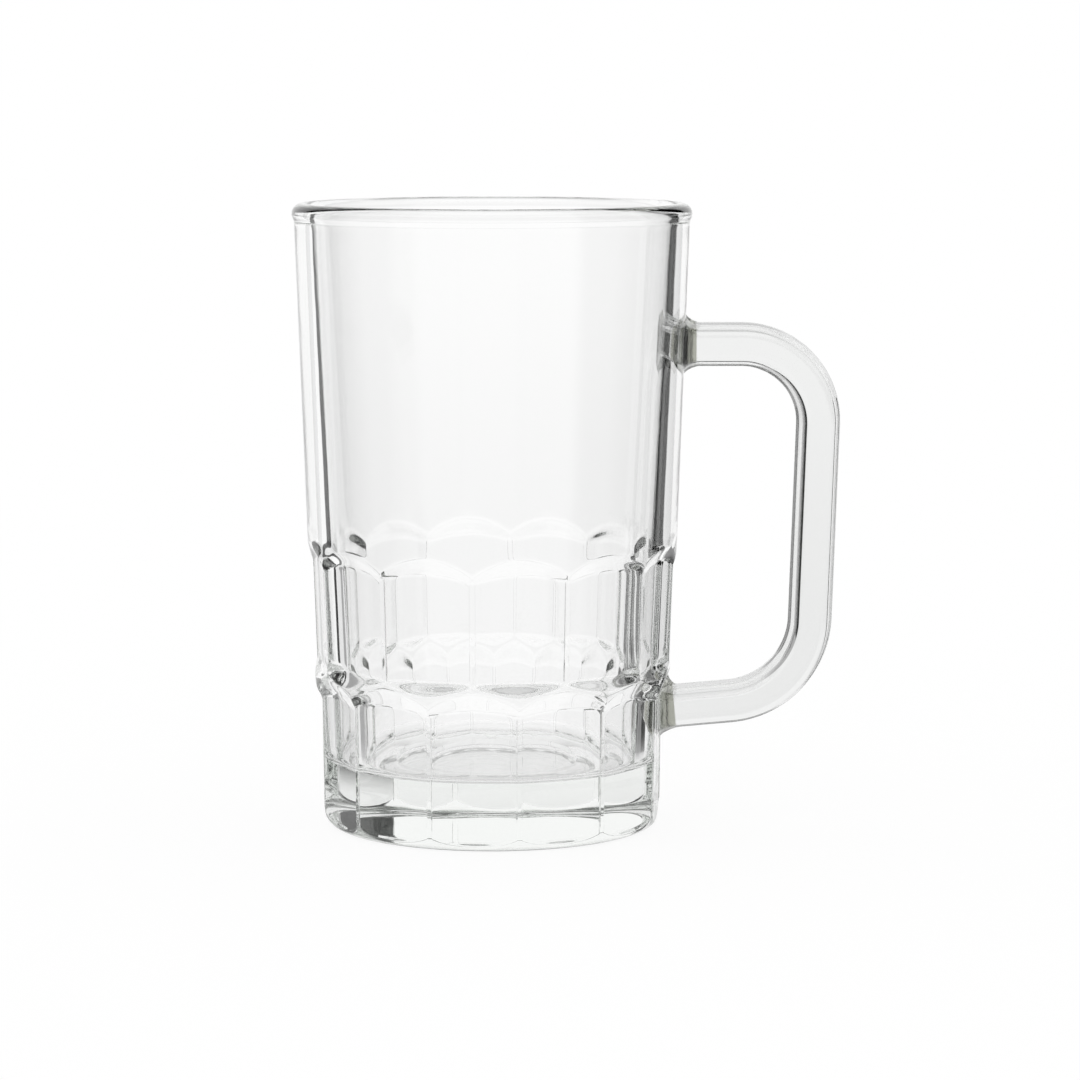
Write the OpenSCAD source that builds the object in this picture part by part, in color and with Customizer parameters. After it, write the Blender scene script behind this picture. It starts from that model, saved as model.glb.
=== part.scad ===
// Heavy glass beer mug: a tapered bowl with two staggered rows of arched panels and a stuck-on bar handle.
// Millimetres. The mug stands on z = 0, the bowl turns about the z axis and the handle points along +x.

/* [Bowl] */
// Outside diameter of the rim bead
rim_d = 88; // [80:1:100]
// Height from the table to the top of the rim
height = 138; // [130:1:160]
// Diameter of the outer cone where it would meet the table
foot_d = 77; // [74:0.5:82]
// How far the rim bead stands proud of the wall
bead_proud = 0.5; // [0.2:0.05:1]
// Thickness of the wall under the rim
rim_wall = 4; // [3.2:0.1:5]
// Thickness of the wall at the floor, before the panels are pressed in
floor_wall = 6; // [5.5:0.1:8]

/* [Base] */
// Thickness of the solid base under the floor
base_t = 14.5; // [11:0.5:18]
// Radius where the inner wall meets the floor
floor_round = 2.5; // [1:0.25:4]
// Diameter of the shallow dish in the middle of the floor
dish_d = 40; // [24:1:46]
// Depth of that dish
dish_depth = 1; // [0.4:0.1:2]
// Width of the sloping edge round the dish
dish_edge = 1; // [0.5:0.1:2]
// Radius of the round edge at the foot
foot_round = 4; // [2.5:0.25:5]
// Width of the flat ring that the mug stands on
foot_ring = 5; // [3:0.5:10]
// Depth of the hollow inside that ring
push_up = 0.8; // [0.4:0.1:2]
// Width of the sloping edge round the hollow
push_up_edge = 3; // [1:0.5:6]

/* [Panels] */
// Panels in each row
panel_count = 12; // [10:1:16]
// Turn of the upper row's ribs from the handle, in degrees
panel_turn = -5.6; // [-15:0.1:15]
// How deep the upper row's ribs lie under the wall's cone
upper_rib_drop = 0.57; // [0.4:0.01:1.2]
// How deep the lower row's ribs lie under the wall's cone, at the top of their row
lower_rib_drop = 1.65; // [1.2:0.01:2.2]
// Lean of the lower panels out of the upright, in degrees
lower_lean = 0.8; // [0:0.1:2]
// How deep the band between the rows lies under the wall's cone
band_drop = 0.3; // [0.05:0.01:0.35]
// Width of the round land left on each rib
rib_land = 0.9; // [0.5:0.1:1.6]
// Height of the upper panels, from their straight foot to the top of their arch
upper_panel_h = 23.7; // [18:0.1:32]
// Radius of the upper panels' arch
upper_arch_r = 33.6; // [24:0.2:44]
// Gap between the rows, from the top of the lower arches to the foot of the upper panels
row_gap = 6; // [4.6:0.1:9]
// Height of the lower panels' arch above the table
lower_top = 30.8; // [26:0.1:36]
// Radius of the lower panels' arch
lower_arch_r = 40; // [28:0.5:50]
// Run of the arches' sloping shoulders for each millimetre of depth
shoulder_share = 1; // [0.5:0.05:1.2]
// Run of the upper panels' sloping feet for each millimetre of depth
foot_share = 1.5; // [0.8:0.05:2]

/* [Handle] */
// Thickness of the bar, seen from the side
bar_h = 9.8; // [8:0.1:12]
// Width of the bar, seen from the end
bar_w = 10.5; // [8:0.1:13]
// Corner radius of the bar's section
bar_round = 2.4; // [1:0.1:3.5]
// Room for the fingers, from the wall at the upper arm to the upright bar
finger_room = 24.8; // [21:0.1:36]
// How far the upper arm's centre line lies below the rim
upper_arm_drop = 31.3; // [22:0.1:40]
// Height of the lower arm's centre line at the bottom of its bend
lower_arm_z = 26.9; // [24:0.1:32]
// Radius of the upper bend's centre line
upper_bend_r = 17; // [12:0.5:20]
// Radius of the lower bend's centre line
lower_bend_r = 19.6; // [14:0.1:24]
// Lean of the upright bar towards the bowl at its foot, in degrees
bar_lean = 2.4; // [0:0.1:5]
// Fall of the lower arm towards the bowl, in degrees
arm_fall = 5; // [0:0.5:8]

/* [Joint collars] */
// How far each collar stands out from the wall
collar_t = 2.35; // [1.5:0.05:4]
// How much each collar widens at the wall, all round
collar_flare = 2.5; // [1:0.1:3]

/* [Hidden] */

glass_colour = [0.86, 0.91, 0.89];
joint_colour = [0.6, 0.64, 0.58];
overrun = 1;
$fn = 144;

// The wall: an outer cone with a round bead on its top, and an inner cone
bead_turn_r = (rim_wall + bead_proud) / 2;
bead_z = height - bead_turn_r;
wall_top_r = rim_d / 2 - bead_proud;
bore_top_r = wall_top_r - rim_wall;
taper = atan((wall_top_r - foot_d / 2) / bead_z);
function cone_r(z) = foot_d / 2 + z * tan(taper);
floor_r = cone_r(base_t) - floor_wall;
function bore_r(z) = floor_r + (bore_top_r - floor_r) * (z - base_t) / (bead_z - base_t);

// The panels: flat facets whose planes leave a narrow land on each rib
half_pitch = 180 / panel_count;
pitch = 2 * half_pitch;
function upper_rib_r(z) = cone_r(z) - upper_rib_drop;
function lower_rib_r(z) = cone_r(lower_top) - lower_rib_drop - (lower_top - z) * tan(lower_lean);
function band_r(z) = cone_r(z) - band_drop;
function plane_r(rib_r) = rib_r * cos(half_pitch - asin(rib_land / 2 / rib_r));
function rib_offset(rib_r) = rib_r * sin(half_pitch);
function arc_rise(r, offset) = sqrt(r * r - offset * offset);

upper_foot = lower_top + row_gap;
upper_top = upper_foot + upper_panel_h;
upper_arch_z = upper_top - upper_arch_r;
upper_rib_top = upper_arch_z + arc_rise(upper_arch_r, rib_offset(upper_rib_r(upper_top)));
lower_arch_z = lower_top - lower_arch_r;
lower_rib_top = lower_arch_z + arc_rise(lower_arch_r, rib_offset(lower_rib_r(lower_top)));
upper_step = shoulder_share * upper_rib_drop;
foot_step = foot_share * (upper_rib_drop - band_drop);
lower_step = shoulder_share * (lower_rib_drop - band_drop);
cut_depth = rim_wall + floor_wall;
panel_reach = cone_r(upper_top) * sin(half_pitch) + overrun;
stand_r = lower_rib_r(foot_round) - foot_round;

// The handle: both bends turn in the x-z plane, joined by the leaning bar
upper_arm_z = height - upper_arm_drop;
reach = cone_r(upper_arm_z) + finger_room + bar_h;
upper_centre = [reach - bar_h / 2 - upper_bend_r, 0, upper_arm_z - upper_bend_r];
lower_centre_z = lower_arm_z + lower_bend_r;
bend_drop = upper_centre.z - lower_centre_z - (upper_bend_r - lower_bend_r) * sin(bar_lean);
bar_length = bend_drop / cos(bar_lean);
bar_out = [cos(bar_lean), 0, -sin(bar_lean)];
bar_down = [-sin(bar_lean), 0, -cos(bar_lean)];
bar_start = upper_centre + upper_bend_r * bar_out;
bar_end = bar_start + bar_length * bar_down;
lower_centre = bar_end - lower_bend_r * bar_out;
lower_arm_start = lower_centre + lower_bend_r * [sin(arm_fall), 0, -cos(arm_fall)];
upper_arm_end_x = cone_r(upper_arm_z) + collar_t;
lower_arm_end_x = lower_rib_r(lower_arm_z) + collar_t;
lower_arm_length = (lower_arm_start.x - lower_arm_end_x) / cos(arm_fall);
lower_arm_end = lower_arm_start - lower_arm_length * [cos(arm_fall), 0, sin(arm_fall)];

// The bar's section and the rings that the handle and its collars are skinned over
bend_steps = 14;
corner_steps = 5;
collar_steps = 6;
collar_sink = floor_wall / 2;
corner_signs = [[1, 1], [-1, 1], [-1, -1], [1, -1]];
corner_centre = [bar_h / 2 - bar_round, bar_w / 2 - bar_round];
upper_end = [upper_arm_end_x, upper_arm_z, 90];
lower_end = [lower_arm_end.x, lower_arm_end.z, arm_fall - 90];

// The section's outline, grown by an even margin all round
function section(grow) = [
    for (c = [0 : len(corner_signs) - 1], j = [0 : corner_steps])
        let (turn = 90 * (c + j / corner_steps), r = bar_round + grow)
        [
            corner_signs[c].x * corner_centre.x + r * cos(turn),
            corner_signs[c].y * corner_centre.y + r * sin(turn)
        ]
];

// One ring at a station, which is its x, its z and the angle of the bar's outer side, moved along the bar
function ring(station, along, grow) =
    let (x = station.x + along * sin(station.z), z = station.y - along * cos(station.z))
    [for (p = section(grow)) [x + p.x * cos(station.z), -p.y, z + p.x * sin(station.z)]];

// The stations of one bend, from one angle of its outer side to another
function bend(centre, bend_r, from, to) = [
    for (i = [0 : bend_steps])
        let (turn = from + (to - from) * i / bend_steps)
        [centre.x + bend_r * cos(turn), centre.z + bend_r * sin(turn), turn]
];

// A collar's ring at one step from the bar's end face to the wall, widening along a quarter ellipse
function collar_ring(station, side, step) =
    let (turn = 90 * min(step, collar_steps) / collar_steps)
    let (sink = step > collar_steps ? collar_sink : 0)
    ring(station, side * (collar_t * sin(turn) + sink), collar_flare * (1 - cos(turn)));

// Half of the bowl's outer outline, turned about the axis to make the solid form
module outer_outline() {
    polygon([
        [0, 0],
        [stand_r, 0],
        [stand_r + foot_round, foot_round],
        [lower_rib_r(lower_rib_top), lower_rib_top],
        [band_r(lower_rib_top + lower_step), lower_rib_top + lower_step],
        [band_r(upper_foot - foot_step), upper_foot - foot_step],
        [upper_rib_r(upper_foot), upper_foot],
        [upper_rib_r(upper_rib_top), upper_rib_top],
        [cone_r(upper_rib_top + upper_step), upper_rib_top + upper_step],
        [wall_top_r, bead_z],
        [0, bead_z]
    ]);
    translate([stand_r, foot_round]) circle(foot_round);
}

// Half of the hollow inside, with its round corner and the dish in the floor
module bore_outline() {
    corner_z = base_t + floor_round;
    corner_x = bore_r(corner_z) - floor_round;
    polygon([
        [0, base_t - dish_depth],
        [dish_d / 2, base_t - dish_depth],
        [dish_d / 2 + dish_edge, base_t],
        [corner_x, base_t],
        [corner_x + floor_round, corner_z],
        [bore_top_r, bead_z],
        [bore_top_r, height + overrun],
        [0, height + overrun]
    ]);
    translate([corner_x, corner_z]) circle(floor_round);
}

// Half of the hollow under the base
module push_up_outline() {
    hollow_r = stand_r - foot_ring;
    polygon([
        [0, -overrun],
        [hollow_r, -overrun],
        [hollow_r, 0],
        [hollow_r - push_up_edge, push_up],
        [0, push_up]
    ]);
}

// The cut above one panel's plane. It has an arch at its top, a straight foot, and slopes outwards at both
module panel_cut(arch_z, arch_r, foot_z) {
    intersection() {
        translate([0, 0, arch_z])
            rotate([0, 90, 0])
            cylinder(h = cut_depth, r1 = arch_r, r2 = arch_r + shoulder_share * cut_depth);
        rotate([90, 0, 0])
            linear_extrude(height = 2 * panel_reach, center = true)
            polygon([
                [0, foot_z],
                [cut_depth, foot_z - foot_share * cut_depth],
                [cut_depth, arch_z + arch_r + cut_depth],
                [0, arch_z + arch_r + cut_depth]
            ]);
    }
}

// Puts a cut on the plane of one panel that leans outwards, with its height zero at the given height
module on_panel(turn, rib_r, z, lean) {
    rotate([0, 0, turn])
        translate([plane_r(rib_r), 0, z])
        rotate([0, lean, 0])
        children();
}

module upper_panel(turn) {
    on_panel(turn, upper_rib_r(upper_foot), upper_foot, taper)
        panel_cut(upper_arch_z - upper_foot, upper_arch_r, 0);
}

// The lower panels run out under the foot
module lower_panel(turn) {
    on_panel(turn, lower_rib_r(0), 0, lower_lean)
        panel_cut(lower_arch_z, lower_arch_r, -cut_depth);
}

// The solid outer form of the bowl, with both rows of panels pressed in
module bowl_form() {
    difference() {
        rotate_extrude() outer_outline();
        for (i = [0 : panel_count - 1]) {
            upper_panel(panel_turn + half_pitch + i * pitch);
            lower_panel(panel_turn + i * pitch);
        }
    }
}

module bowl() {
    color(glass_colour)
        union() {
            difference() {
                bowl_form();
                rotate_extrude() bore_outline();
                rotate_extrude() push_up_outline();
            }
            rotate_extrude() translate([rim_d / 2 - bead_turn_r, bead_z]) circle(bead_turn_r);
        }
}

// A closed skin over rings that each have the same number of points
module skin(rings) {
    n = len(rings[0]);
    last = (len(rings) - 1) * n;
    sides = [
        for (k = [0 : len(rings) - 2], i = [0 : n - 1])
            let (a = k * n + i, b = k * n + (i + 1) % n)
            each [[a, a + n, b], [b, a + n, b + n]]
    ];
    caps = [
        for (i = [1 : n - 2])
            each [[0, i, i + 1], [last, last + i + 1, last + i]]
    ];
    polyhedron([for (r = rings) each r], concat(sides, caps));
}

module handle() {
    stations = concat(
        [upper_end],
        bend(upper_centre, upper_bend_r, 90, -bar_lean),
        bend(lower_centre, lower_bend_r, -bar_lean, arm_fall - 90),
        [lower_end]
    );
    color(glass_colour)
        skin([for (s = stations) ring(s, 0, 0)]);
}

// The collars: fused glass that widens from the bar's end faces to the wall
module upper_collar() {
    color(joint_colour)
        difference() {
            skin([for (i = [collar_steps + 1 : -1 : 0]) collar_ring(upper_end, -1, i)]);
            rotate_extrude() outer_outline();
        }
}

// The lower collar follows the panels that it sits on
module lower_collar() {
    nearest = round(-panel_turn / pitch);
    color(joint_colour)
        difference() {
            skin([for (i = [0 : collar_steps + 1]) collar_ring(lower_end, 1, i)]);
            difference() {
                rotate_extrude() outer_outline();
                for (i = [-1 : 1])
                    lower_panel(panel_turn + (nearest + i) * pitch);
            }
        }
}

bowl();
handle();
upper_collar();
lower_collar();
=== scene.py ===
import math

import bmesh
import bpy
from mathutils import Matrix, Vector
from mathutils.bvhtree import BVHTree


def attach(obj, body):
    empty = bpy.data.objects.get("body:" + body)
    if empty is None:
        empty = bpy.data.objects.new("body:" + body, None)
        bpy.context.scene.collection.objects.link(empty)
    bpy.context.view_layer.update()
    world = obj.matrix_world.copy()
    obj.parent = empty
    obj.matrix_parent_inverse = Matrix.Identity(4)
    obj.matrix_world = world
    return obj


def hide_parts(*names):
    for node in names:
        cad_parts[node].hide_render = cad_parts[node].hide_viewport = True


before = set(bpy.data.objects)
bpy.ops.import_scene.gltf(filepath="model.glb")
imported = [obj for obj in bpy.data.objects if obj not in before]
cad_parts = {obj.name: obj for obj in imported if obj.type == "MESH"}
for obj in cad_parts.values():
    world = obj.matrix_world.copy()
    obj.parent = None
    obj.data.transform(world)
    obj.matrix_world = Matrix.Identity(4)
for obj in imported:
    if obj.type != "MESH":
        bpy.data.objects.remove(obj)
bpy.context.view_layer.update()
mm = 0.001
print("frame loaded:", sorted(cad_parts))


def addNode(tree, kind, settings=None, links=None):  # one node, with its settings and what goes into it
    node = tree.nodes.new(kind)
    for name, value in (settings or {}).items():
        setattr(node, name, value)
    for name, value in (links or {}).items():
        if isinstance(value, bpy.types.Node):
            value = value.outputs[0]
        if isinstance(value, bpy.types.NodeSocket):
            tree.links.new(value, node.inputs[name])
        else:
            node.inputs[name].default_value = value
    return node


def linearColour(hexColour, alpha=1.0):  # sRGB hex to the linear values that a socket takes
    channels = [int(hexColour[i:i + 2], 16) / 255 for i in (1, 3, 5)]
    return [c / 12.92 if c <= 0.04045 else ((c + 0.055) / 1.055) ** 2.4 for c in channels] + [alpha]


def smoothStep(t):
    return t * t * (3 - 2 * t)


def spaced(first, step, count):
    return [first + step * i for i in range(count)]


def addToScene(name, data):
    thing = bpy.data.objects.new(name, data)
    bpy.context.scene.collection.objects.link(thing)
    return thing


glassFinish = {  # ripple sizes in metres, depth densities per metre
    "bowl": dict(  # pressed in an iron mould, then flamed: water-clear, with the faintest ripple
        name="pressedSodaLimeGlass", roughness=(0.0, 0.003),
        depthColour="#dfe6df", depthDensity=4.0, rippleSize=9 * mm, ripple=0.0015),
    "handle": dict(  # fire-polished bar: melted smooth, and greyer where the eye looks along it
        name="firePolishedSodaLimeGlass", roughness=(0.0, 0.003),
        depthColour="#c4c7c4", depthDensity=26.0, rippleSize=7 * mm, ripple=0.002),
    "joint": dict(  # gathered on hot: smoky grey-green and a little wavy
        name="hotFusedSodaLimeGlass", roughness=(0.0, 0.02),
        depthColour="#adaf9f", depthDensity=150.0, rippleSize=3 * mm, ripple=0.006),
}
glassColour, glassIor = "#ffffff", 1.52  # soda-lime glass colours light by its depth, not at its skin
dullScale = 0.3  # patches of duller polish are about three ripples wide
dullFrom, dullTo = 0.35, 0.7  # the noise values between which the polish goes from best to dullest


def makeGlass(finish):  # clear dielectric: the edges bend the set into thin dark and bright lines
    material = bpy.data.materials.new(finish["name"])
    material.use_nodes = True
    tree = material.node_tree
    tree.nodes.clear()
    place = addNode(tree, "ShaderNodeTexCoord")
    ripple = addNode(tree, "ShaderNodeTexNoise", {}, {
        "Vector": place.outputs["Object"], "Scale": 1 / finish["rippleSize"], "Detail": 1.0})
    bump = addNode(tree, "ShaderNodeBump", {}, {
        "Height": ripple.outputs["Fac"], "Strength": finish["ripple"], "Distance": finish["rippleSize"]})
    patches = addNode(tree, "ShaderNodeTexNoise", {}, {
        "Vector": place.outputs["Object"], "Scale": dullScale / finish["rippleSize"], "Detail": 3.0})
    polish = addNode(tree, "ShaderNodeMapRange", {}, {
        "Value": patches.outputs["Fac"], "From Min": dullFrom, "From Max": dullTo,
        "To Min": finish["roughness"][0], "To Max": finish["roughness"][1]})
    skin = addNode(tree, "ShaderNodeBsdfPrincipled", {}, {
        "Base Color": linearColour(glassColour), "IOR": glassIor, "Transmission Weight": 1.0,
        "Roughness": polish, "Normal": bump})
    depth = addNode(tree, "ShaderNodeVolumeAbsorption", {}, {
        "Color": linearColour(finish["depthColour"]), "Density": finish["depthDensity"]})
    addNode(tree, "ShaderNodeOutputMaterial", {}, {"Surface": skin, "Volume": depth})
    return material


glass = {kind: makeGlass(finish) for kind, finish in glassFinish.items()}
print("materials made:", [m.name for m in glass.values()])


coneSlope = 0.036832  # how far the wall leans out, in mm for each mm of height
bowlSizes = {  # millimetres and degrees
    "rimRadius": 43.94, "height": 137.98, "beadRadius": 2.25, "beadFillet": 0.5, "floorWall": 6.0,
    "baseThickness": 14.5, "floorRound": 2.5, "dishRadius": 20.5, "dishDepth": 1.0, "dishEdge": 0.8,
    "footRound": 4.0, "standRadius": 33.6, "ringWidth": 5.0, "pushUp": 0.8, "pushUpEdge": 3.0,
    "blankSpare": 1.0, "spareRun": 4.0,  # how much too wide the blank is, and how high up it gets so
    "beadFrom": -50, "beadTurn": 230,  # where the bead leaves the wall, and how far it goes round
    # the mesh: how finely its rounds are stepped, and where its other rows and columns are
    "footSteps": 11, "beadSteps": 23, "cornerSteps": 6, "dishSteps": 6, "pushUpSteps": 4,
    "hollowShares": (0.3, 0.6, 0.85), "ringShares": (0.33, 0.66), "dishShares": (0.8, 0.5, 0.25),
    "baseRows": (4.8, 5.8, 7, 9, 12, 15, 18, 21, 23.5, 25.5, 27),
    "lowerArchRows": (28.4, 0.3, 31),  # first height, step and count
    "panelRows": (38, 39.2, 41, 44, 48, 52, 55.5, 57.2),
    "upperArchRows": (58, 0.28, 23),
    "wallRows": (66, 72, 84, 100, 116, 130, 132.5, 133.4),
    "boreRows": (128, 116, 104, 92, 80, 68, 56, 44, 32, 23, 18.5),
    "columnPlaces": (0, 0.35, 0.55, 0.59, 0.63, 0.67, 0.75, 0.95, 1.3, 1.8, 2.5, 3.3, 4.2),  # from a rib
    "panels": {  # what the panel tree takes
        "Panels": 12, "Turn Degrees": -5.6,
        "Cone Radius": 38.5, "Cone Slope": coneSlope, "Band Drop": 0.28,
        "Upper Rib Radius": 38.02, "Upper Rib Slope": coneSlope,
        "Lower Rib Radius": 37.67, "Lower Rib Slope": 0.01396,
        "Upper Arch Height": 60.5, "Upper Arch Radius": 33.6, "Upper Foot": 36.8,
        "Lower Arch Height": 30.8, "Lower Arch Radius": 40.0, "Lower Foot": -20.0,  # below the base: no foot
        "Shoulder Run": 1.5, "Foot Run": 1.6, "Shoulder Hollow": 0.9, "Shoulder Round": 1.1,
        "Rib Land": 0.55, "Land Side": 0.12, "Foot Blend": 0.4,
        "Band Fade Low": 56.0, "Band Fade High": 62.0,
    },
}


def coneRadius(z):  # the plain wall's outer radius at a height
    return bowlSizes["panels"]["Cone Radius"] + coneSlope * z


def bowlProfile(s):  # half outline, from the middle of the underside round to the middle of the floor
    beadZ = s["height"] - s["beadRadius"]
    beadR = s["rimRadius"] - s["beadRadius"]
    boreTop = beadR - s["beadRadius"]
    boreFoot = coneRadius(s["baseThickness"]) - s["floorWall"]
    points = []

    def add(r, z, pressed=0):
        points.append((r, z, pressed))

    def bore(z):
        return boreFoot + (boreTop - boreFoot) * (z - s["baseThickness"]) / (beadZ - s["baseThickness"])

    # underside: the shallow hollow and the stand ring
    ringIn = s["standRadius"] - s["ringWidth"]
    hollow = ringIn - s["pushUpEdge"]
    for share in s["hollowShares"]:
        add(hollow * share, s["pushUp"])
    for i in range(s["pushUpSteps"] + 1):
        t = i / s["pushUpSteps"]
        add(hollow + (ringIn - hollow) * t, s["pushUp"] * (1 - smoothStep(t)))
    for share in s["ringShares"]:
        add(ringIn + s["ringWidth"] * share, 0)
    # foot edge
    for i in range(s["footSteps"] + 1):
        a = math.radians(90 * i / s["footSteps"])
        add(s["standRadius"] + s["footRound"] * math.sin(a), s["footRound"] * (1 - math.cos(a)), 1)
    # wall: rows close together where the arches and the straight feet cross it
    footR = s["standRadius"] + s["footRound"]
    for z in (*s["baseRows"], *spaced(*s["lowerArchRows"]), *s["panelRows"], *spaced(*s["upperArchRows"])):
        out = min(1, (z - s["footRound"]) / s["spareRun"])
        add(footR + out * (coneRadius(z) + s["blankSpare"] - footR), z, 1)
    for z in s["wallRows"]:
        add(coneRadius(z), z)
    # rim bead, with a soft crease under it
    for i in range(s["beadSteps"] + 1):
        a = math.radians(s["beadFrom"] + s["beadTurn"] * i / s["beadSteps"])
        r = beadR + s["beadRadius"] * math.cos(a)
        z = beadZ + s["beadRadius"] * math.sin(a)
        if a < 0:  # the bead meets the wall
            gap = r - coneRadius(z)
            soft = s["beadFillet"] / 2
            r = coneRadius(z) + (gap + math.sqrt(gap * gap + soft * soft)) / 2
        add(r, z)
    # bore, its round corner and the dished floor
    for z in s["boreRows"]:
        add(bore(z), z)
    cornerZ = s["baseThickness"] + s["floorRound"]
    cornerR = bore(cornerZ) - s["floorRound"]
    for i in range(s["cornerSteps"] + 1):
        a = math.radians(90 * i / s["cornerSteps"])
        add(cornerR + s["floorRound"] * math.cos(a), cornerZ - s["floorRound"] * math.sin(a))
    edgeOut = s["dishRadius"] + s["dishEdge"] / 2
    add((cornerR + edgeOut) / 2, s["baseThickness"])
    for i in range(s["dishSteps"] + 1):
        t = i / s["dishSteps"]
        add(edgeOut - s["dishEdge"] * t, s["baseThickness"] - s["dishDepth"] * smoothStep(t))
    for share in s["dishShares"]:
        add(s["dishRadius"] * share, s["baseThickness"] - s["dishDepth"])
    return points


def bowlBlank(s):  # the bowl before its panels are pressed
    profile = bowlProfile(s)
    panels = s["panels"]
    step = math.pi / panels["Panels"]
    places = [place / panels["Cone Radius"] for place in s["columnPlaces"]]  # closer together at the ribs
    places += [step / 2] + [step - place for place in reversed(places[1:])]
    turn = math.radians(panels["Turn Degrees"])
    angles = [turn + j * step + place for j in range(2 * panels["Panels"]) for place in places]
    n = len(angles)
    vertices = [(0, 0, s["pushUp"] * mm)]
    pressed = [0]
    for r, z, mark in profile:
        for a in angles:
            vertices.append((r * mm * math.cos(a), r * mm * math.sin(a), z * mm))
            pressed.append(mark)
    vertices.append((0, 0, (s["baseThickness"] - s["dishDepth"]) * mm))
    pressed.append(0)
    faces = [(0, 1 + (i + 1) % n, 1 + i) for i in range(n)]
    for k in range(len(profile) - 1):
        a, b = 1 + k * n, 1 + (k + 1) * n
        faces += [(a + i, a + (i + 1) % n, b + (i + 1) % n, b + i) for i in range(n)]
    last = 1 + (len(profile) - 1) * n
    faces += [(last + i, last + (i + 1) % n, len(vertices) - 1) for i in range(n)]
    mesh = bpy.data.meshes.new("bowlBlank")
    mesh.from_pydata(vertices, [], faces)
    mark = mesh.attributes.new("pressed", "FLOAT", "POINT")
    mark.data.foreach_set("value", [float(p) for p in pressed])
    return addToScene("bowlBlank", mesh)


def startTree(name, inputs):  # a geometry tree with its named sizes, and the node that hands them on
    tree = bpy.data.node_groups.new(name, "GeometryNodeTree")
    tree.interface.new_socket("Geometry", in_out="INPUT", socket_type="NodeSocketGeometry")
    for title in inputs:
        tree.interface.new_socket(title, in_out="INPUT", socket_type="NodeSocketFloat")
    tree.interface.new_socket("Geometry", in_out="OUTPUT", socket_type="NodeSocketGeometry")
    return tree, addNode(tree, "NodeGroupInput").outputs


def endTree(tree, shape, material):
    real = addNode(tree, "GeometryNodeRealizeInstances", {}, {"Geometry": shape})
    coat = addNode(tree, "GeometryNodeSetMaterial", {}, {"Geometry": real, "Material": material})
    addNode(tree, "NodeGroupOutput", {}, {"Geometry": coat})


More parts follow.
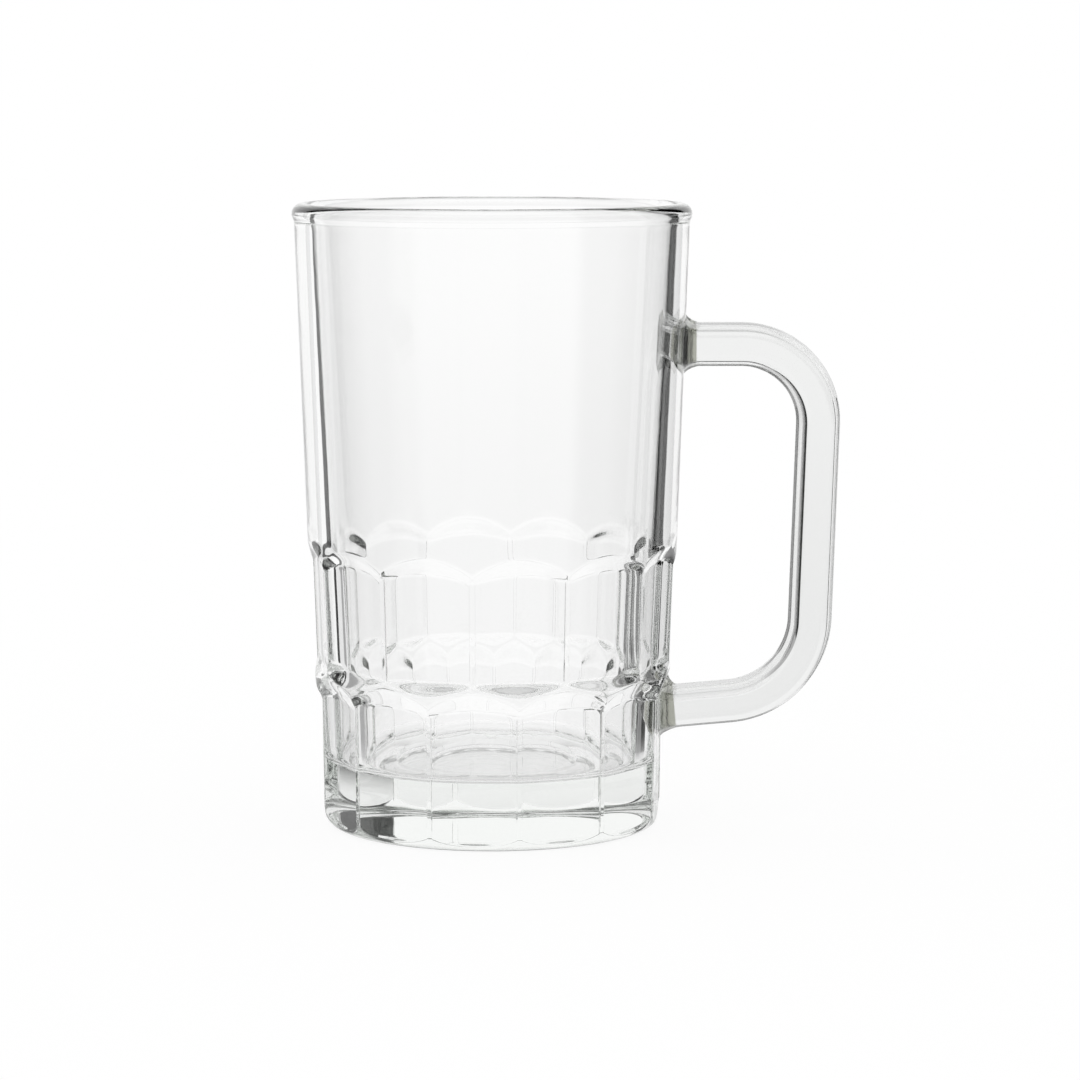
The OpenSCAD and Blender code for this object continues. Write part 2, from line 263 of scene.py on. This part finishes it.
def panelTree(material):  # presses the two staggered rows of arched panels into the blank
    panels = bowlSizes["panels"]
    tree, given = startTree("pressPanels", panels)
    place = addNode(tree, "GeometryNodeInputPosition")
    axes = addNode(tree, "ShaderNodeSeparateXYZ", {}, {"Vector": place}).outputs
    values = {name: given[name] for name in panels}
    values.update(x=axes["X"], y=axes["Y"], zMetres=axes["Z"])

    def work(steps):  # a list of sums, each with its name, operation and what goes in
        for name, operation, *taken in steps:
            sources = {i: values[t] if isinstance(t, str) else t for i, t in enumerate(taken)}
            result = addNode(tree, "ShaderNodeMath", {"operation": operation, "label": name}, sources)
            values[name] = result.outputs[0]

    work([
        ("z", "MULTIPLY", "zMetres", 1 / mm),
        ("xx", "MULTIPLY", "x", "x"),
        ("radiusSquared", "MULTIPLY_ADD", "y", "y", "xx"),
        ("radiusMetres", "SQRT", "radiusSquared"),
        ("blankRadius", "MULTIPLY", "radiusMetres", 1 / mm),
        ("heading", "ARCTAN2", "y", "x"),
        ("upperTurn", "RADIANS", "Turn Degrees"),
        ("pitch", "DIVIDE", 2 * math.pi, "Panels"),
        ("halfPitch", "MULTIPLY", "pitch", 0.5),
        ("halfCosine", "COSINE", "halfPitch"),
        ("cone", "MULTIPLY_ADD", "z", "Cone Slope", "Cone Radius"),
        ("lowerTurn", "ADD", "upperTurn", "halfPitch"),  # the rows are staggered by half a panel
    ])
    for row, title in (("upper", "Upper"), ("lower", "Lower")):
        work([
            (row + "Off", "SUBTRACT", "heading", row + "Turn"),
            (row + "FromRib", "WRAP", row + "Off", "pitch", 0.0),
            (row + "FromMiddle", "SUBTRACT", row + "FromRib", "halfPitch"),
            (row + "Own", "ABSOLUTE", row + "FromMiddle"),
            (row + "Next", "SUBTRACT", "pitch", row + "Own"),
            (row + "Rib", "MULTIPLY_ADD", "z", title + " Rib Slope", title + " Rib Radius"),
            (row + "Plane", "MULTIPLY", row + "Rib", "halfCosine"),
            (row + "Centre", "SUBTRACT", title + " Arch Height", title + " Arch Radius"),
            (row + "Up", "SUBTRACT", "z", row + "Centre"),
            (row + "UpSquared", "MULTIPLY", row + "Up", row + "Up"),
            (row + "UnderFoot", "SUBTRACT", title + " Foot", "z"),
            (row + "FootRise", "DIVIDE", row + "UnderFoot", "Foot Run"),
        ])
        for side in (row + "Own", row + "Next"):  # the panel a point is on, and the one beside it
            work([
                (side + "Sine", "SINE", side),
                (side + "Cosine", "COSINE", side),
                (side + "Across", "MULTIPLY", side + "Sine", "cone"),
                (side + "Squared", "MULTIPLY_ADD", side + "Across", side + "Across", row + "UpSquared"),
                (side + "Reach", "SQRT", side + "Squared"),
                (side + "PastArch", "SUBTRACT", side + "Reach", title + " Arch Radius"),
                (side + "ArchRise", "DIVIDE", side + "PastArch", "Shoulder Run"),
                (side + "Rise", "MAXIMUM", side + "ArchRise", row + "FootRise"),
                (side + "Shoulder", "SMOOTH_MAX", side + "Rise", 0.0, "Shoulder Hollow"),
                (side + "Level", "ADD", side + "Shoulder", row + "Plane"),
                (side + "Radius", "DIVIDE", side + "Level", side + "Cosine"),
            ])
        work([  # the deeper panel wins, and a narrow round land is left on the rib between them
            (row + "Meeting", "MINIMUM", row + "OwnRadius", row + "NextRadius"),
            (row + "FromCrest", "SUBTRACT", "halfPitch", row + "Own"),
            (row + "CrestGap", "MULTIPLY", row + "FromCrest", "cone"),
            (row + "PastLand", "SUBTRACT", row + "CrestGap", "Rib Land"),
            (row + "Fall", "DIVIDE", row + "PastLand", "Land Side"),
            (row + "Proud", "MAXIMUM", row + "Meeting", row + "Rib"),
            (row + "Step", "SUBTRACT", row + "Proud", row + "Meeting"),
            (row + "Share", "SUBTRACT", 1.0, row + "Fall"),
            (row + "Least", "MAXIMUM", row + "Share", 0.0),
            (row + "Most", "MINIMUM", row + "Least", 1.0),
            (row + "Row", "MULTIPLY_ADD", row + "Step", row + "Most", row + "Meeting"),
        ])
    fade = addNode(tree, "ShaderNodeMapRange", {"interpolation_type": "SMOOTHSTEP"}, {
        "Value": values["z"], "From Min": values["Band Fade Low"], "From Max": values["Band Fade High"],
        "To Min": values["Band Drop"], "To Max": 0.0})
    values["fade"] = fade.outputs[0]
    work([
        ("band", "SUBTRACT", "cone", "fade"),
        ("rows", "SMOOTH_MIN", "upperRow", "lowerRow", "Shoulder Round"),
        ("wall", "SMOOTH_MIN", "rows", "band", "Shoulder Round"),
        ("withFoot", "SMOOTH_MIN", "wall", "blankRadius", "Foot Blend"),
        ("share", "DIVIDE", "withFoot", "blankRadius"),
        ("newX", "MULTIPLY", "x", "share"),
        ("newY", "MULTIPLY", "y", "share"),
    ])
    moved = addNode(tree, "ShaderNodeCombineXYZ", {}, {
        "X": values["newX"], "Y": values["newY"], "Z": values["zMetres"]})
    mark = addNode(tree, "GeometryNodeInputNamedAttribute", {"data_type": "FLOAT"}, {"Name": "pressed"})
    press = addNode(tree, "GeometryNodeSetPosition", {}, {
        "Geometry": given["Geometry"], "Selection": mark.outputs["Attribute"], "Position": moved})
    smooth = addNode(tree, "GeometryNodeSetShadeSmooth", {}, {"Geometry": press})
    endTree(tree, smooth, material)
    return tree


def runTree(blank, tree, sizes, name):  # leaves a plain mesh, with no modifier
    modifier = blank.modifiers.new("shape", "NODES")
    modifier.node_group = tree
    sockets = {item.name: item.identifier for item in tree.interface.items_tree
               if item.item_type == "SOCKET" and item.in_out == "INPUT"}
    for size, value in sizes.items():
        modifier[sockets[size]] = float(value)
    bpy.context.view_layer.update()
    evaluated = blank.evaluated_get(bpy.context.evaluated_depsgraph_get())
    mesh = bpy.data.meshes.new_from_object(evaluated)
    mesh.name = name
    piece = addToScene(name, mesh)
    blank.modifiers.clear()
    bpy.data.objects.remove(blank)
    return piece


bowl = runTree(bowlBlank(bowlSizes), panelTree(glass["bowl"]), bowlSizes["panels"], "bowlGlassBody")
print("bowl pressed:", len(bowl.data.polygons), "faces")


handleSizes = {  # millimetres and degrees
    "reach": 77.0, "upperArmZ": 106.7, "lowerArmZ": 26.9, "upperBend": 17.0, "lowerBend": 19.6,
    "lean": 2.0, "fall": 5.0, "collar": 2.35,
    "ribGrowth": 0.12,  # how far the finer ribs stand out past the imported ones
    "bendSteps": 110, "cornerSteps": 16, "sharpAngle": 0.9,  # edges past this angle, in radians, stay crisp
    "section": {  # the bar's section, widest at the mould seam behind its middle
        "Thick": 9.8, "Wide": 10.5, "Corner": 2.0, "Front Draft": 1.65, "Seam": 2.7,
        "Ridge": 0.58, "Ridge Run": 1.4, "Section Step": 0.28,
    },
}


def handlePath(s):  # the bar's middle line, from the upper arm's end to the lower arm's
    lean, fall = math.radians(s["lean"]), math.radians(s["fall"])
    uprightX = s["reach"] - s["section"]["Thick"] / 2
    upper = Vector((uprightX - s["upperBend"], s["upperArmZ"] - s["upperBend"]))  # the bends' centres
    lowerZ = s["lowerArmZ"] + s["lowerBend"]
    out, down = Vector((math.cos(lean), -math.sin(lean))), Vector((-math.sin(lean), -math.cos(lean)))
    length = (upper.y - lowerZ - (s["upperBend"] - s["lowerBend"]) * math.sin(lean)) / math.cos(lean)
    lower = upper + s["upperBend"] * out + length * down - s["lowerBend"] * out
    points = [Vector((coneRadius(s["upperArmZ"]) + s["collar"], s["upperArmZ"]))]
    for i in range(s["bendSteps"] + 1):
        a = math.pi / 2 - (math.pi / 2 + lean) * i / s["bendSteps"]
        points.append(upper + s["upperBend"] * Vector((math.cos(a), math.sin(a))))
    for i in range(s["bendSteps"] + 1):
        a = -lean - (math.pi / 2 - fall - lean) * i / s["bendSteps"]
        points.append(lower + s["lowerBend"] * Vector((math.cos(a), math.sin(a))))
    panels = bowlSizes["panels"]
    lowerRib = panels["Lower Rib Radius"] + panels["Lower Rib Slope"] * s["lowerArmZ"] - s["ribGrowth"]
    run = (points[-1].x - lowerRib - s["collar"]) / math.cos(fall)
    points.append(points[-1] - run * Vector((math.cos(fall), math.sin(fall))))
    return points


def barTree(material):  # sweeps a rounded square whose sides draw in from the mould seam to the front
    tree, given = startTree("sweepBar", (*handleSizes["section"], "Sharp Angle"))
    path = addNode(tree, "GeometryNodeMeshToCurve", {}, {"Mesh": given["Geometry"]})
    outline = addNode(tree, "GeometryNodeCurvePrimitiveQuadrilateral", {}, {
        "Width": given["Wide"], "Height": given["Thick"]})
    rounded = addNode(tree, "GeometryNodeFilletCurve", {"mode": "POLY"}, {
        "Curve": outline, "Radius": given["Corner"], "Count": handleSizes["cornerSteps"]})
    evenly = addNode(tree, "GeometryNodeResampleCurve", {"mode": "LENGTH"}, {
        "Curve": rounded, "Length": given["Section Step"]})
    place = addNode(tree, "GeometryNodeInputPosition")
    axes = addNode(tree, "ShaderNodeSeparateXYZ", {}, {"Vector": place}).outputs
    back = addNode(tree, "ShaderNodeMath", {"operation": "MULTIPLY"}, {0: axes["X"], 1: -1.0})
    front = addNode(tree, "ShaderNodeMath", {"operation": "MULTIPLY"}, {0: given["Wide"], 1: -0.5})
    half = addNode(tree, "ShaderNodeMath", {"operation": "MULTIPLY"}, {0: given["Thick"], 1: 0.5})
    ridgeFoot = addNode(tree, "ShaderNodeMath", {"operation": "SUBTRACT"}, {
        0: given["Seam"], 1: given["Ridge Run"]})
    rest = addNode(tree, "ShaderNodeMath", {"operation": "SUBTRACT"}, {
        0: given["Front Draft"], 1: given["Ridge"]})
    ridge = addNode(tree, "ShaderNodeMapRange", {}, {  # the seam's short bevel
        "Value": back, "From Min": given["Seam"], "From Max": ridgeFoot,
        "To Min": 0.0, "To Max": given["Ridge"]})
    draft = addNode(tree, "ShaderNodeMapRange", {}, {  # the long slope from there to the front
        "Value": back, "From Min": ridgeFoot, "From Max": front, "To Min": 0.0, "To Max": rest})
    loss = addNode(tree, "ShaderNodeMath", {"operation": "ADD"}, {0: ridge, 1: draft})
    share = addNode(tree, "ShaderNodeMath", {"operation": "DIVIDE"}, {0: loss, 1: half})
    left = addNode(tree, "ShaderNodeMath", {"operation": "SUBTRACT"}, {0: 1.0, 1: share})
    lower = addNode(tree, "ShaderNodeMath", {"operation": "MULTIPLY"}, {0: axes["Y"], 1: left})
    sloped = addNode(tree, "ShaderNodeCombineXYZ", {}, {"X": axes["X"], "Y": lower})
    section = addNode(tree, "GeometryNodeSetPosition", {}, {"Geometry": evenly, "Position": sloped})
    bar = addNode(tree, "GeometryNodeCurveToMesh", {}, {
        "Curve": path, "Profile Curve": section, "Fill Caps": True})
    soft = addNode(tree, "GeometryNodeSetShadeSmooth", {}, {"Geometry": bar})
    bend = addNode(tree, "GeometryNodeInputMeshEdgeAngle")
    gentle = addNode(tree, "ShaderNodeMath", {"operation": "LESS_THAN"}, {
        0: bend.outputs["Unsigned Angle"], 1: given["Sharp Angle"]})
    smooth = addNode(tree, "GeometryNodeSetShadeSmooth", {"domain": "EDGE"}, {
        "Geometry": soft, "Shade Smooth": gentle})
    endTree(tree, smooth, material)
    return tree


def pathObject(points):
    edges = [(i, i + 1) for i in range(len(points) - 1)]
    mesh = bpy.data.meshes.new("barPath")
    mesh.from_pydata([(p.x * mm, 0, p.y * mm) for p in points], edges, [])
    return addToScene("barPath", mesh)


barPoints = handlePath(handleSizes)
barInputs = {name: size * mm for name, size in handleSizes["section"].items()}
barInputs["Sharp Angle"] = handleSizes["sharpAngle"]
handle = runTree(pathObject(barPoints), barTree(glass["handle"]), barInputs, "handleGlassBar")
print("handle swept:", len(handle.data.polygons), "faces, box",
      [round(v, 4) for v in handle.bound_box[0]], [round(v, 4) for v in handle.bound_box[6]])


collarSizes = {  # millimetres; the lip is how far the melted glass climbs along the bar
    "flare": 2.5, "lipAbove": 1.2, "lipBeside": 0.15, "curl": 0.85, "overlap": 0.02,
    "castFrom": 10,  # how far back a ray towards the wall starts
    "rings": 16, "perCorner": 9, "perSide": 20, "fillRings": 6,
}


def sectionOutline(s, grow):  # the bar's section, grown all round: out, across and how much it faces out
    corner, halfThick, halfWide = s["Corner"], s["Thick"] / 2, s["Wide"] / 2
    ridgeFoot = s["Seam"] - s["Ridge Run"]

    def sloped(v):  # what is left of the thickness at a place across the bar, as in the bar's tree
        ridge = min(1, max(0, (s["Seam"] - v) / s["Ridge Run"]))
        draft = min(1, max(0, (ridgeFoot - v) / (ridgeFoot + halfWide)))
        return 1 - (s["Ridge"] * ridge + (s["Front Draft"] - s["Ridge"]) * draft) / halfThick

    r = corner + grow
    cx, cy = halfThick - corner, halfWide - corner
    perCorner, perSide = collarSizes["perCorner"], collarSizes["perSide"]
    signs = [(1, 1), (-1, 1), (-1, -1), (1, -1)]
    outline = []
    for c, (sx, sy) in enumerate(signs):
        for j in range(perCorner + 1):
            turn = math.radians(90 * (c + j / perCorner))
            facing = abs(math.cos(turn))
            outline.append((sx * cx + r * math.cos(turn), sy * cy + r * math.sin(turn), facing))
        (u, v, facing), (tx, ty) = outline[-1], signs[(c + 1) % 4]
        du, dv = (tx - sx) * cx, (ty - sy) * cy
        outline += [(u + du * k / perSide, v + dv * k / perSide, facing) for k in range(1, perSide)]
    return [(u * sloped(v), v, facing) for u, v, facing in outline]


def makeCollar(name, end, inward, bowlTree, material):  # melted glass from the bar's end out to the wall
    side, across = Vector((-inward.z, 0, inward.x)), Vector((0, 1, 0))
    section, c = handleSizes["section"], collarSizes

    def onWall(start):
        hit = bowlTree.ray_cast(start * mm - inward * (c["castFrom"] * mm), inward)
        return hit[0] / mm + inward * c["overlap"]

    wide = [end + side * u + across * v for u, v, facing in sectionOutline(section, c["flare"])]
    wall = [onWall(p) for p in wide]
    inner = sectionOutline(section, -c["overlap"])
    socket = [end + side * u + across * v - inward * c["overlap"] for u, v, facing in inner]
    climb = c["lipAbove"] - c["lipBeside"]
    lips = [c["lipBeside"] + climb * smoothStep(facing) for u, v, facing in inner]
    tips = [p - inward * lip for p, lip in zip(socket, lips)]
    mesh = bmesh.new()
    rings = [[mesh.verts.new(p * mm) for p in socket]]
    for k in range(c["rings"] + 1):
        turn = math.radians(90 * k / c["rings"])
        ring = []
        for tip, foot in zip(tips, wall):
            deep = (foot - tip).dot(inward)
            spread = foot - tip - inward * deep
            ring.append(tip + inward * deep * math.sin(turn) + spread * (1 - math.cos(turn)) ** c["curl"])
        rings.append([mesh.verts.new(p * mm) for p in ring])
    middle = sum(wide, Vector()) / len(wide)
    for k in range(1, c["fillRings"]):
        share = 1 - k / c["fillRings"]
        rings.append([mesh.verts.new(onWall(middle + (p - middle) * share) * mm) for p in wide])
    pad = mesh.verts.new(onWall(middle) * mm)
    n = len(wide)
    for a, b in zip(rings, rings[1:]):
        for i in range(n):
            mesh.faces.new((a[i], a[(i + 1) % n], b[(i + 1) % n], b[i]))
    for i in range(n):
        mesh.faces.new((rings[-1][i], rings[-1][(i + 1) % n], pad))
    mesh.faces.new(rings[0])
    bmesh.ops.recalc_face_normals(mesh, faces=mesh.faces)
    for face in mesh.faces:
        face.smooth = True
    for ring in (rings[0], rings[1], rings[c["rings"] + 1]):  # crisp at the socket, the lip and the pad
        for i in range(n):
            mesh.edges.get((ring[i], ring[(i + 1) % n])).smooth = False
    data = bpy.data.meshes.new(name)
    mesh.to_mesh(data)
    mesh.free()
    data.materials.append(material)
    return addToScene(name, data)


bowlSurface = BVHTree.FromPolygons(
    [v.co for v in bowl.data.vertices], [p.vertices for p in bowl.data.polygons])
upperEnd = Vector((barPoints[0].x, 0, barPoints[0].y))
lowerEnd = Vector((barPoints[-1].x, 0, barPoints[-1].y))
fallAngle = math.radians(handleSizes["fall"])
upperInward, lowerInward = Vector((-1, 0, 0)), Vector((-math.cos(fallAngle), 0, -math.sin(fallAngle)))
upperCollar = makeCollar("upperJointCollar", upperEnd, upperInward, bowlSurface, glass["joint"])
lowerCollar = makeCollar("lowerJointCollar", lowerEnd, lowerInward, bowlSurface, glass["joint"])
print("collars made")

for piece, node, slotName in (
        (bowl, "bowl", "bowl_glass"), (handle, "handle", "handle_glass"),
        (upperCollar, "upper_collar", "joint_glass"), (lowerCollar, "lower_collar", "joint_glass")):
    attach(piece, "root")
    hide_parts(node)


tableSizes = {  # metres; the table is solid out to one radius and clear at the other
    "segments": 128, "solid": 0.35, "radius": 0.9,
    "nearSolid": 0.05, "nearRadius": 0.11,  # the same, for mirrored and bent rays
    "colour": "#fefefe", "eyeGlow": 0.92, "bentGlow": 0.5,  # glow thins the mug's shadow
}


def makeTable(s):  # matt white laminate: even white, with the mug's shadow thinned to a faint grey
    mesh = bmesh.new()
    bmesh.ops.create_circle(mesh, cap_ends=True, segments=s["segments"], radius=s["radius"])
    data = bpy.data.meshes.new("paleFloor")
    mesh.to_mesh(data)
    mesh.free()
    floor = addToScene("paleFloor", data)
    material = bpy.data.materials.new("mattWhiteTable")
    material.use_nodes = True
    tree = material.node_tree
    tree.nodes.clear()
    place = addNode(tree, "ShaderNodeTexCoord")
    length = addNode(tree, "ShaderNodeVectorMath", {"operation": "LENGTH"}, {0: place.outputs["Object"]})
    fades = [addNode(tree, "ShaderNodeMapRange", {"interpolation_type": "SMOOTHSTEP"}, {
        "Value": length.outputs["Value"], "From Min": inner, "From Max": outer})
        for inner, outer in ((s["solid"], s["radius"]), (s["nearSolid"], s["nearRadius"]))]
    path = addNode(tree, "ShaderNodeLightPath").outputs
    bent = addNode(tree, "ShaderNodeMath", {"operation": "MAXIMUM"}, {
        0: path["Is Glossy Ray"], 1: path["Is Transmission Ray"]})
    fade = addNode(tree, "ShaderNodeMix", {"data_type": "FLOAT"}, {0: bent, 2: fades[0], 3: fades[1]})
    eye = addNode(tree, "ShaderNodeMath", {"operation": "MULTIPLY"}, {
        0: path["Is Camera Ray"], 1: s["eyeGlow"]})
    share = addNode(tree, "ShaderNodeMath", {"operation": "MULTIPLY_ADD"}, {
        0: bent, 1: s["bentGlow"], 2: eye})
    table = addNode(tree, "ShaderNodeBsdfDiffuse", {}, {"Color": linearColour(s["colour"])})
    glow = addNode(tree, "ShaderNodeEmission", {}, {"Color": (1, 1, 1, 1), "Strength": 1.0})
    lifted = addNode(tree, "ShaderNodeMixShader", {}, {0: share, 1: table, 2: glow})
    clear = addNode(tree, "ShaderNodeBsdfTransparent")
    both = addNode(tree, "ShaderNodeMixShader", {}, {0: fade, 1: lifted, 2: clear})
    addNode(tree, "ShaderNodeOutputMaterial", {}, {"Surface": both})
    data.materials.append(material)


# Headings run from straight behind the mug, positive to the right, and each card covers those above it.
studioCards = {  # degrees
    "cameraSide": dict(heading=180, halfWidth=105, tilt=15, halfHeight=50, soft=6, tone="#f6f6f6"),
    "rightFar": dict(heading=95, halfWidth=30, tilt=15, halfHeight=50, soft=6, tone="#bebebe"),
    "leftFar": dict(heading=-98, halfWidth=20, tilt=15, halfHeight=50, soft=3, tone="#c8c8c8"),
    "leftSide": dict(heading=-70, halfWidth=12, tilt=15, halfHeight=50, soft=3, tone="#a6a6a6"),
    "rightSide": dict(heading=60, halfWidth=14, tilt=15, halfHeight=50, soft=4, tone="#808080"),
    "nearTable": dict(heading=0, halfWidth=200, tilt=-66, halfHeight=22, soft=8, tone="#dcdcdc"),
    "leftStrip": dict(heading=-54, halfWidth=5, tilt=15, halfHeight=50, soft=0.6, tone="#eeeeee"),
    "leftEdge": dict(heading=-45, halfWidth=3.5, tilt=15, halfHeight=31, soft=0.6, tone="#101210"),
    "rightLow": dict(heading=41, halfWidth=9, tilt=-30, halfHeight=15, soft=3, tone="#b4b4b4"),
    "rightEdge": dict(heading=40.5, halfWidth=8, tilt=15, halfHeight=31, soft=1.5, tone="#101210"),
    "ceiling": dict(heading=0, halfWidth=200, tilt=49, halfHeight=10, soft=3, tone="#2c2f2c"),
    "farTable": dict(heading=0, halfWidth=31, tilt=-10.5, halfHeight=5, soft=2.5, tone="#f7f7f7"),
}


def makeWorld(cards):  # white all round but for the cards, which only mirrored and bent rays see
    world = bpy.data.worlds.new("studio")
    bpy.context.scene.world = world
    world.use_nodes = True
    tree = world.node_tree
    tree.nodes.clear()
    place = addNode(tree, "ShaderNodeTexCoord")
    axes = addNode(tree, "ShaderNodeSeparateXYZ", {}, {"Vector": place.outputs["Generated"]}).outputs
    turn = addNode(tree, "ShaderNodeMath", {"operation": "ARCTAN2"}, {0: axes["X"], 1: axes["Y"]})
    heading = addNode(tree, "ShaderNodeMath", {"operation": "DEGREES"}, {0: turn})
    lift = addNode(tree, "ShaderNodeMath", {"operation": "ARCSINE"}, {0: axes["Z"]})
    tilt = addNode(tree, "ShaderNodeMath", {"operation": "DEGREES"}, {0: lift})
    tone = (1, 1, 1, 1)
    for card in cards.values():
        aside = addNode(tree, "ShaderNodeMath", {"operation": "SUBTRACT"}, {0: heading, 1: card["heading"]})
        wrapped = addNode(tree, "ShaderNodeMath", {"operation": "WRAP"}, {0: aside, 1: 180.0, 2: -180.0})
        away = addNode(tree, "ShaderNodeMath", {"operation": "ABSOLUTE"}, {0: wrapped})
        over = addNode(tree, "ShaderNodeMath", {"operation": "SUBTRACT"}, {0: tilt, 1: card["tilt"]})
        above = addNode(tree, "ShaderNodeMath", {"operation": "ABSOLUTE"}, {0: over})
        masks = [addNode(tree, "ShaderNodeMapRange", {"interpolation_type": "SMOOTHSTEP"}, {
            "Value": value, "From Min": half - card["soft"], "From Max": half + card["soft"],
            "To Min": 1.0, "To Max": 0.0})
            for value, half in ((away, card["halfWidth"]), (above, card["halfHeight"]))]
        mask = addNode(tree, "ShaderNodeMath", {"operation": "MULTIPLY"}, {0: masks[0], 1: masks[1]})
        tone = addNode(tree, "ShaderNodeMix", {"data_type": "RGBA"}, {
            0: mask, 6: tone, 7: linearColour(card["tone"])}).outputs[2]
    seen = addNode(tree, "ShaderNodeBackground", {}, {"Color": tone, "Strength": 1.0})
    plain = addNode(tree, "ShaderNodeBackground", {}, {"Color": (1, 1, 1, 1), "Strength": 1.0})
    path = addNode(tree, "ShaderNodeLightPath").outputs
    bent = addNode(tree, "ShaderNodeMath", {"operation": "MAXIMUM"}, {
        0: path["Is Glossy Ray"], 1: path["Is Transmission Ray"]})
    final = addNode(tree, "ShaderNodeMixShader", {}, {0: bent, 1: plain, 2: seen})
    addNode(tree, "ShaderNodeOutputWorld", {}, {"Surface": final})


cameraSizes = {  # millimetres and degrees
    "aim": (10.52, 0, 63.46), "tilt": 6.65, "distance": 908.15, "lens": 136.67, "sensor": 36,
    "near": 50, "far": 20000,  # what the camera sees lies between these
}


def makeCamera(s):  # level with the mug's middle, a little from above, through a long lens
    data = bpy.data.cameras.new("camera")
    camera = addToScene("camera", data)
    data.sensor_width = s["sensor"]
    data.lens = s["lens"]
    data.clip_start, data.clip_end = s["near"] * mm, s["far"] * mm
    aim = Vector(s["aim"]) * mm
    tilt, distance = math.radians(s["tilt"]), s["distance"] * mm
    camera.location = aim + distance * Vector((0, -math.cos(tilt), math.sin(tilt)))
    camera.rotation_euler = (aim - camera.location).to_track_quat("-Z", "Y").to_euler()
    bpy.context.scene.camera = camera


makeTable(tableSizes)
makeWorld(studioCards)
makeCamera(cameraSizes)
bpy.context.scene.view_settings.view_transform = "Standard"
bpy.context.scene.cycles.max_bounces = 32  # rays run far inside the thick wall before they leave it
bpy.context.scene.cycles.transmission_bounces = 32
bpy.context.scene.cycles.glossy_bounces = 16
print("floor, light and camera placed")
